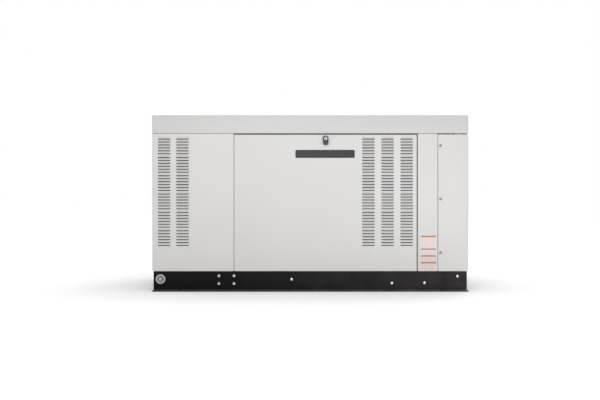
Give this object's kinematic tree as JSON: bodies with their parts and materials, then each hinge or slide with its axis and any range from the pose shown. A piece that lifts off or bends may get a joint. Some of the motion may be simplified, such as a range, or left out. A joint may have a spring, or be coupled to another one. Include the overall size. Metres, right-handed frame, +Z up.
{
  "type": "home standby generator",
  "caption": "Liquid-cooled standby generator in a louvred sheet-steel enclosure on a bolt-down steel base, with a tilting latched access panel and its engine, alternator and controls.",
  "frame": {"origin": "on the ground, under the middle of the enclosure", "axes": "+X to the right seen from the front, +Y to the rear, +Z up"},
  "size_m": [1.58, 0.77, 0.88],
  "materials": {
    "enclosure_paint": "pale grey powder coat, fine texture",
    "base_paint": "black enamel, semi-gloss",
    "frame_zinc": "galvanised sheet",
    "zinc_hardware": "bright zinc plate",
    "acoustic_foam": "charcoal acoustic foam",
    "nameplate": "blank satin plate",
    "label_film": "blank pale label film with amber header bands",
    "latch_black": "black satin",
    "cast_iron": "painted dark grey casting",
    "aluminium": "as cast",
    "machined_steel": "machined",
    "dark_steel": "black paint on steel",
    "exhaust_steel": "aluminised steel, heat tinted",
    "rubber_black": "matt rubber",
    "black_plastic": "moulded black",
    "clear_plastic": "translucent natural plastic",
    "filter_paint": "gloss orange paint",
    "alternator_paint": "dark grey paint",
    "copper": "enamelled copper windings",
    "core_fins": "black-brazed aluminium fins",
    "stop_red": "red moulding",
    "yellow_plastic": "yellow moulding",
    "cabinet_grey": "mid grey powder coat"
  },
  "bodies": {
    "enclosure": {"base_front_rail": "base_paint", "base_rear_rail": "base_paint", "base_crossmembers": "base_paint", "base_floor_pan": "frame_zinc", "base_bolts": "zinc_hardware", "base_plug": "zinc_hardware", "fuel_inlet_pipe": "dark_steel", "inner_frame": "frame_zinc", "left_front_panel": "enclosure_paint", "left_end_panel": "enclosure_paint", "right_end_panel": "enclosure_paint", "rear_left_panel": "enclosure_paint", "rear_center_panel": "enclosure_paint", "rear_right_panel": "enclosure_paint", "front_right_post": "enclosure_paint", "right_front_panel": "enclosure_paint", "panel_screws": "zinc_hardware", "label_plates": "label_film", "roof": "enclosure_paint", "engine_block": "cast_iron", "oil_pan": "dark_steel", "cylinder_head": "aluminium", "valve_cover": "black_plastic", "oil_filter": "filter_paint", "intake_manifold": "aluminium", "air_cleaner": "black_plastic", "exhaust_manifold": "cast_iron", "muffler": "exhaust_steel", "starter_motor": "dark_steel", "fan_belt": "rubber_black", "charge_alternator": "aluminium", "rubber_mounts": "rubber_black", "alternator_housing": "alternator_paint", "radiator_core": "core_fins", "radiator_frame": "dark_steel", "rubber_hoses": "rubber_black", "overflow_bottle": "clear_plastic", "fuel_regulator": "aluminium", "battery": "black_plastic", "battery_tray": "dark_steel", "battery_cables": "rubber_black", "control_cabinet": "cabinet_grey", "control_fascia": "black_plastic", "main_breaker": "black_plastic"},
    "front_panel": {"front_panel": "enclosure_paint", "front_panel_insulation": "acoustic_foam", "nameplate": "nameplate", "latch_body": "latch_black"},
    "latch": {"latch_handle": "latch_black", "latch_cam": "zinc_hardware"},
    "crankshaft": {"crankshaft": "machined_steel", "alternator_rotor": "copper"},
    "fan": {"fan": "black_plastic"},
    "charge_rotor": {"charge_pulley": "machined_steel"},
    "breaker_lever": {"breaker_lever": "black_plastic"},
    "mode_switch": {"mode_switch": "black_plastic"},
    "stop_button": {"e_stop": "stop_red"},
    "oil_filler_cap": {"oil_filler_cap": "yellow_plastic"},
    "dipstick": {"dipstick": "yellow_plastic"},
    "radiator_cap": {"radiator_cap": "zinc_hardware"}
  },
  "joints": [
    {"name": "front_panel_tilt", "type": "hinge", "parent": "enclosure", "child": "front_panel", "pos_m": [0, -0.347, 0.1015], "axis": [1, 0, 0], "range_deg": [0, 40]},
    {"name": "latch_turn", "type": "hinge", "parent": "front_panel", "child": "latch", "pos_m": [0.077, -0.35, 0.761], "axis": [0, -1, 0], "range_deg": [0, 90]},
    {"name": "crankshaft_spin", "type": "hinge", "parent": "enclosure", "child": "crankshaft", "pos_m": [0, 0, 0.27], "axis": [1, 0, 0], "continuous": true},
    {"name": "fan_spin", "type": "hinge", "parent": "enclosure", "child": "fan", "pos_m": [0.5, 0, 0.41], "axis": [1, 0, 0], "continuous": true},
    {"name": "charge_rotor_spin", "type": "hinge", "parent": "enclosure", "child": "charge_rotor", "pos_m": [0.49, -0.185, 0.37], "axis": [1, 0, 0], "continuous": true},
    {"name": "breaker_throw", "type": "hinge", "parent": "enclosure", "child": "breaker_lever", "pos_m": [-0.113, -0.262, 0.61], "axis": [-1, 0, 0], "range_deg": [0, 56]},
    {"name": "mode_switch_turn", "type": "hinge", "parent": "enclosure", "child": "mode_switch", "pos_m": [-0.215, -0.285, 0.56], "axis": [0, 1, 0], "range_deg": [-45, 45]},
    {"name": "stop_button_press", "type": "slide", "parent": "enclosure", "child": "stop_button", "axis": [0, 1, 0], "range_m": [0, 0.006], "stiffness_N_per_m": 400},
    {"name": "oil_filler_cap_turn", "type": "hinge", "parent": "enclosure", "child": "oil_filler_cap", "pos_m": [0.372, 0, 0.58], "axis": [0, 0, 1], "range_deg": [0, 90]},
    {"name": "dipstick_pull", "type": "slide", "parent": "enclosure", "child": "dipstick", "axis": [0, 0, 1], "range_m": [0, 0.25]},
    {"name": "radiator_cap_turn", "type": "hinge", "parent": "enclosure", "child": "radiator_cap", "pos_m": [0.612, -0.15, 0.73], "axis": [0, 0, 1], "range_deg": [0, 90]}
  ],
  "couplings": [
    {"joint": "fan_spin", "follows": "crankshaft_spin", "ratio": 1.2347},
    {"joint": "charge_rotor_spin", "follows": "crankshaft_spin", "ratio": 2.0479}
  ]
}
